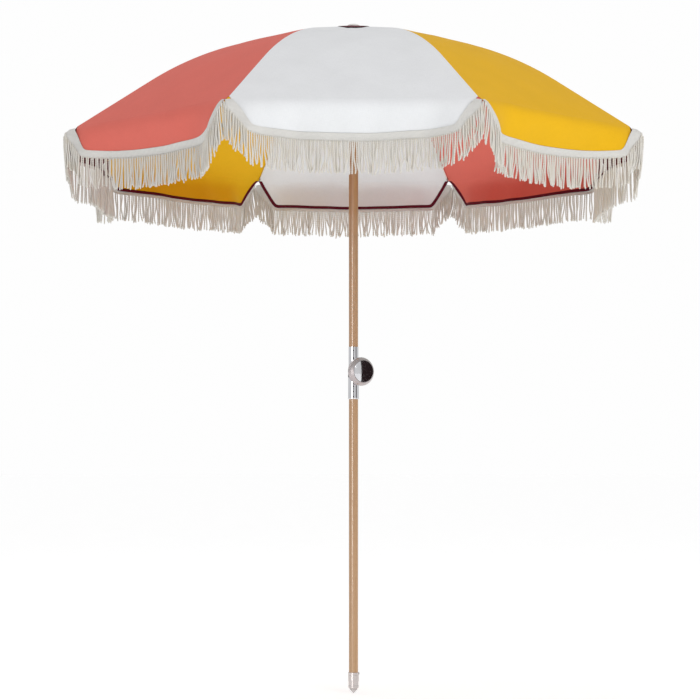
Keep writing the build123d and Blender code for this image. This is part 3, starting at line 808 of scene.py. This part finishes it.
# Oval section of two twisted plies, drawn in at both ends.
CORD_SECTIONS = 48
CORD_SIDES = 8
CORD_WIDE = 0.00285
CORD_THIN = 0.00190
CORD_SIZE_SPREAD = 0.06
CORD_PITCH = 0.0135
CORD_PITCH_SPREAD = 0.0006
TOP_TAPER = (0.6, 0.9)
END_TAPER = (1.02, 0.86, 0.45)
FIBRE_OFFSET = 3.7


def cord_lines(gore, side, draw):
    """Centre lines of half a fringe's cords, how far down them the points are, and where the cords start."""
    track, run = edge_track(side, CORD_SPACING)
    track = (track[1:] + track[:-1]) / 2
    run = (run[1:] + run[:-1]) / 2
    count = len(track)
    nx, nz = edge_normal(track)
    start = CORD_OVERLAP - HEADER_HANG
    depth = edge_depth(CHORD - np.abs(track)) - nz * start
    x0 = track + nx * start
    steep = np.abs(nx)[:, None]

    length = CORD_LENGTH + draw.normal(0, CORD_LENGTH_SPREAD, count)
    length = length + np.where(draw.random(count) < SHORT_SHARE, -SHORT_BY, 0)
    if gore in SIDE_GORES:
        length = length + SIDE_CORD_EXTRA
    down = np.linspace(0, 1, CORD_SECTIONS)
    fall = length[:, None] * down

    clump = smooth_noise(CLUMP_SEED + gore, count=9, low=0.018, high=0.11)
    drift = smooth_noise(DRIFT_SEED + gore, count=7, low=0.02, high=0.12)
    swing_along = (CLUMP_SWING * clump(track) + draw.normal(0, OWN_SWING_ALONG, count))[:, None]
    swing_out = (DRIFT_SWING * drift(track) + draw.normal(0, OWN_SWING_OUT, count))[:, None]
    bow_size = draw.normal(0, BOW, count)[:, None]
    bow_phase = draw.uniform(0, BOW_PHASE, count)[:, None]
    bow = bow_size * np.sin(down * math.pi * BOW_HALF_WAVES + bow_phase)

    share = down**SWING_POWER
    layer = (np.arange(count) % 2 - 0.5)[:, None] * (LAYER + LAYER_STEEP * steep)
    pleat = tuft(x0)[:, None]
    x = x0[:, None] + swing_along * share + bow * down
    x = x + np.sign(x0)[:, None] * pleat * math.tan(HALF)
    base = flap_offset(gore)(x0, np.maximum(depth, CORD_TOP))[:, None]
    settle = -SETTLE * steep**2 * share
    n = FLAP_D + base + pleat + CLOTH / 2 + CORD_OUT + layer + swing_out * share + settle
    rim_dip = RIM_DIP * np.clip(1 - (x0 / CHORD) ** 2, 0, 1)
    z = TIP_Z + CLOTH_LIFT - (rim_dip + depth)[:, None] - TUFT_FALL * pleat - fall
    return place(gore, n, x, z), fall, run


def cord_tubes(name, gore, centre, fall, run, draw):
    """Cords round their centre lines, as an oval that turns on the way down, with closed ends."""
    count, sections = fall.shape
    sides = CORD_SIDES
    pitch = CORD_PITCH + draw.normal(0, CORD_PITCH_SPREAD, count)
    phase = draw.uniform(0, 2 * math.pi, count)
    twist = phase[:, None] + 2 * math.pi * fall / pitch[:, None]
    taper = np.ones(sections)
    taper[: len(TOP_TAPER)] = TOP_TAPER
    taper[-len(END_TAPER) :] = END_TAPER
    size = (1 + draw.normal(0, CORD_SIZE_SPREAD, count))[:, None, None] * taper[:, None]
    wide, thin = CORD_WIDE * size, CORD_THIN * size
    angle = np.linspace(0, 2 * math.pi, sides, endpoint=False)
    rel = angle - twist[:, :, None]
    radius = wide * thin / np.sqrt((thin * np.cos(rel)) ** 2 + (wide * np.sin(rel)) ** 2)
    outward, chord = gore_frame(gore)
    ring = np.cos(angle)[:, None] * chord + np.sin(angle)[:, None] * outward
    points = centre[:, :, None, :] + radius[..., None] * ring

    i, s, j = np.meshgrid(np.arange(count), np.arange(sections - 1), np.arange(sides), indexing="ij")
    a = (i * sections + s) * sides + j
    b = (i * sections + s) * sides + (j + 1) % sides
    faces = np.stack([a, b, b + sides, a + sides], -1).reshape(-1, 4).tolist()
    for c in range(count):
        top = c * sections * sides
        last = top + (sections - 1) * sides
        faces.append([top + q for q in range(sides - 1, -1, -1)])
        faces.append([last + q for q in range(sides)])
    around = np.broadcast_to(angle / (2 * math.pi), radius.shape)
    along = np.broadcast_to((fall + run[:, None] * FIBRE_OFFSET)[:, :, None], radius.shape)
    return make_object(name, points.reshape(-1, 3), faces, np.stack([around, along], -1).reshape(-1, 2))


def cords_half(gore, side, letter, rib):
    """Twisted cords of the fringe, hanging straight down from the header."""
    draw = np.random.default_rng(CORD_SEED + 2 * gore + (side > 0))
    centre, fall, run = cord_lines(gore, side, draw)
    ob = cord_tubes(f"fringe_cords_{gore + 1}{letter}", gore, centre, fall, run, draw)
    finish_piece(ob, "fringe_cord")
    hang(ob, rib)
    return ob


for gore in range(GORES):
    slot = CANVAS[gore % len(CANVAS)]
    for side, letter, rib in ((-1, "a", gore), (1, "b", (gore + 1) % GORES)):
        roof_half(gore, side, letter, rib, slot)
        binding = binding_half(gore, side, letter, rib)
        header = header_half(gore, side, letter, rib)
        cords = cords_half(gore, side, letter, rib)
        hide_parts(f"fringe_{gore + 1}")
        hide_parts(f"fringe_{gore + 1}")
        flap_half(gore, side, letter, rib, slot)

# ---------------------------------------------------------------- crown patch
PATCH_R = 0.118
PATCH_INNER = 0.010
PATCH_LIFT = 0.0024
PATCH_ROWS = 26
PATCH_COLUMNS = 17
PATCH_UV_R = 0.08


def patch_surface(t, r):
    """The patch over the crown, for an angle t from the first rib and a distance r from the pole's axis."""
    reach = np.maximum(r - PEAK_R, 0)
    z = PEAK_Z + PATCH_LIFT - (PEAK_Z - KNEE_Z) / (KNEE_R - PEAK_R) * reach
    off_rib = 1 - (2 * (t / STEP % 1) - 1) ** 2
    a = FIRST_RIB + t
    return np.stack([r * np.cos(a), r * np.sin(a), z - crown_sag(r, off_rib)], -1)


for rib in range(GORES):
    ts = rib * STEP + np.linspace(-HALF, HALF, PATCH_COLUMNS)
    rs = np.linspace(PATCH_INNER, PATCH_R, PATCH_ROWS)
    ob = sheet_object(
        f"crown_patch_{rib + 1}", patch_surface, ts, rs[::-1], CLOTH, lambda t, r: (t * PATCH_UV_R, r)
    )
    finish_piece(ob, "canvas_burgundy")
    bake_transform(ob)
    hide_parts("crown_patch")

# ---------------------------------------------------------------- knob grip
KNURL_TEETH = 84
STEPS_PER_TOOTH = 4
KNURL_HEIGHT = 0.0008
KNURL_GROOVE = 0.0002
GRIP_RADIUS = 0.0450
GRIP_START = 0.0475
GRIP_END = 0.0558
GRIP_EDGE = 0.0006
GRIP_SINK = 0.001
knob_joint = next(j for j in frame["record"]["behaviour"]["joints"] if j["name"] == "knob_turn")


def knob_grip():
    """Ridges round the knob's side."""
    centre = np.array(knob_joint["pos_m"])
    axis = np.array(knob_joint["axis"])
    axis = axis / np.linalg.norm(axis)
    up = np.array([0, 0, 1.0])
    across = np.cross(up, axis)
    steps = STEPS_PER_TOOTH * KNURL_TEETH
    low = GRIP_RADIUS - GRIP_SINK
    points = []
    for i in range(steps):
        angle = 2 * math.pi * i / steps
        ray = math.cos(angle) * across + math.sin(angle) * up
        raised = i % STEPS_PER_TOOTH in (1, 2)
        tooth = GRIP_RADIUS + (KNURL_HEIGHT if raised else -KNURL_GROOVE)
        profile = (
            (GRIP_START, low),
            (GRIP_START + GRIP_EDGE, tooth),
            (GRIP_END - GRIP_EDGE, tooth),
            (GRIP_END, low),
        )
        for reach, height in profile:
            points.append(centre + axis * reach + ray * height)
    corners = len(profile)
    faces = []
    for i in range(steps):
        here = i * corners
        following = (i + 1) % steps * corners
        for j in range(corners):
            turned = (j + 1) % corners
            faces.append([here + j, following + j, following + turned, here + turned])
    ob = make_object("knob_grip", points, faces)
    ob.data.polygons.foreach_set("use_smooth", [False] * len(ob.data.polygons))
    finish_piece(ob, "satin_chrome")
    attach(ob, "knob")


knob_grip()

# ---------------------------------------------------------------- floor, lights and camera
WORLD_LIGHT = 0.70
WORLD_SEEN = 0.99
FLOOR_SIZE = 160
FLOOR_GLOW = 0.41
scene = bpy.context.scene
scene.view_settings.view_transform = "Standard"
scene.view_settings.look = "None"


def floor_material():
    """White studio floor that glows a little, so that it meets the backdrop unseen."""
    mat, tree, shader = nodes_of("studio_floor")
    mottle = noise(tree, object_position(tree), 3.0, 4, 0.5)
    set_inputs(
        tree,
        shader,
        Base_Color=ramp(tree, mottle, [(0.3, (0.80, 0.80, 0.80, 1)), (0.7, (0.83, 0.83, 0.83, 1))]),
        Roughness=0.9,
        Specular_IOR_Level=0.1,
        Emission_Color=(1, 1, 1, 1),
        Emission_Strength=FLOOR_GLOW,
    )
    return mat


def card_material(name, rgb):
    """Dull surface of a stage card, in a linear colour."""
    mat, tree, shader = nodes_of(name)
    set_inputs(tree, shader, Base_Color=(*rgb, 1), Roughness=1.0, Specular_IOR_Level=0.0)
    return mat


def plane(name, size, material):
    """A flat square at the origin."""
    bpy.ops.mesh.primitive_plane_add(size=size)
    ob = bpy.context.object
    ob.name = name
    ob.data.materials.append(material)
    return ob


def area_light(name, at, target, width, height, energy):
    """A soft rectangular lamp."""
    data = bpy.data.lights.new(name, "AREA")
    data.shape = "RECTANGLE"
    data.size = width
    data.size_y = height
    data.energy = energy
    lamp = bpy.data.objects.new(name, data)
    scene.collection.objects.link(lamp)
    lamp.location = at
    lamp.rotation_euler = (Vector(target) - Vector(at)).to_track_quat("-Z", "Y").to_euler()
    lamp.visible_camera = False
    return lamp


def card(name, at, facing, width, height, material):
    """A stage card that is only seen in reflections."""
    ob = plane(name, 1, material)
    ob.location = at
    ob.rotation_euler = (Vector(facing) - Vector(at)).to_track_quat("Z", "Y").to_euler()
    ob.scale = (width, height, 1)
    ob.visible_camera = False
    ob.visible_diffuse = False
    ob.visible_shadow = False


plane("studio_floor", FLOOR_SIZE, floor_material())

world = bpy.data.worlds.new("studio")
scene.world = world
world.use_nodes = True
sky = world.node_tree
seen = sky.nodes.new("ShaderNodeLightPath").outputs["Is Camera Ray"]
brightness = add(sky, "ShaderNodeMapRange", Value=seen, To_Min=WORLD_LIGHT, To_Max=WORLD_SEEN)
set_inputs(sky, sky.nodes["Background"], Color=(1, 1, 1, 1), Strength=brightness.outputs[0])

area_light("key", at=(3.75, -5.85, 3.55), target=(0, 0, 1.6), width=3.2, height=3.2, energy=114)
top = area_light("top", at=(-3.0, 1.8, 6.4), target=(0, 0, 1.9), width=3.0, height=3.0, energy=52)
top.visible_glossy = False
under = area_light("under", at=(0, 0, 0.02), target=(0, 0, 1), width=4.0, height=4.0, energy=12)
under.data.color = (0.76, 1.0, 1.0)
under.visible_glossy = False
strip = area_light("strip", at=(-2.35, -4.4, 1.0), target=(0, 0, 1.0), width=1.3, height=3.0, energy=190)
strip.visible_diffuse = False

black = card_material("studio_flag", (0.022, 0.014, 0.015))
pale = card_material("studio_scrim", (0.55, 0.54, 0.53))
card("flag_right", at=(5.0, -2.7, 1.0), facing=(0, -2.7, 1.0), width=2.3, height=3.4, material=black)
card("flag_behind", at=(-1.2, -8.5, 1.0), facing=(-1.2, 0, 1.0), width=4.2, height=6.0, material=black)
card("scrim_above", at=(0, 0, 1.55), facing=(0, 0, 0), width=1.7, height=1.7, material=pale)

camera_data = bpy.data.cameras.new("camera")
camera_data.lens = 100.25
camera_data.sensor_width = 36
camera_data.shift_x = -0.005
camera_data.shift_y = 0.1529
camera_data.clip_end = 400
camera = bpy.data.objects.new("camera", camera_data)
scene.collection.objects.link(camera)
camera.location = (0, -6.3256, 0.7655)
camera.rotation_euler = (math.radians(90), 0, 0)
scene.camera = camera
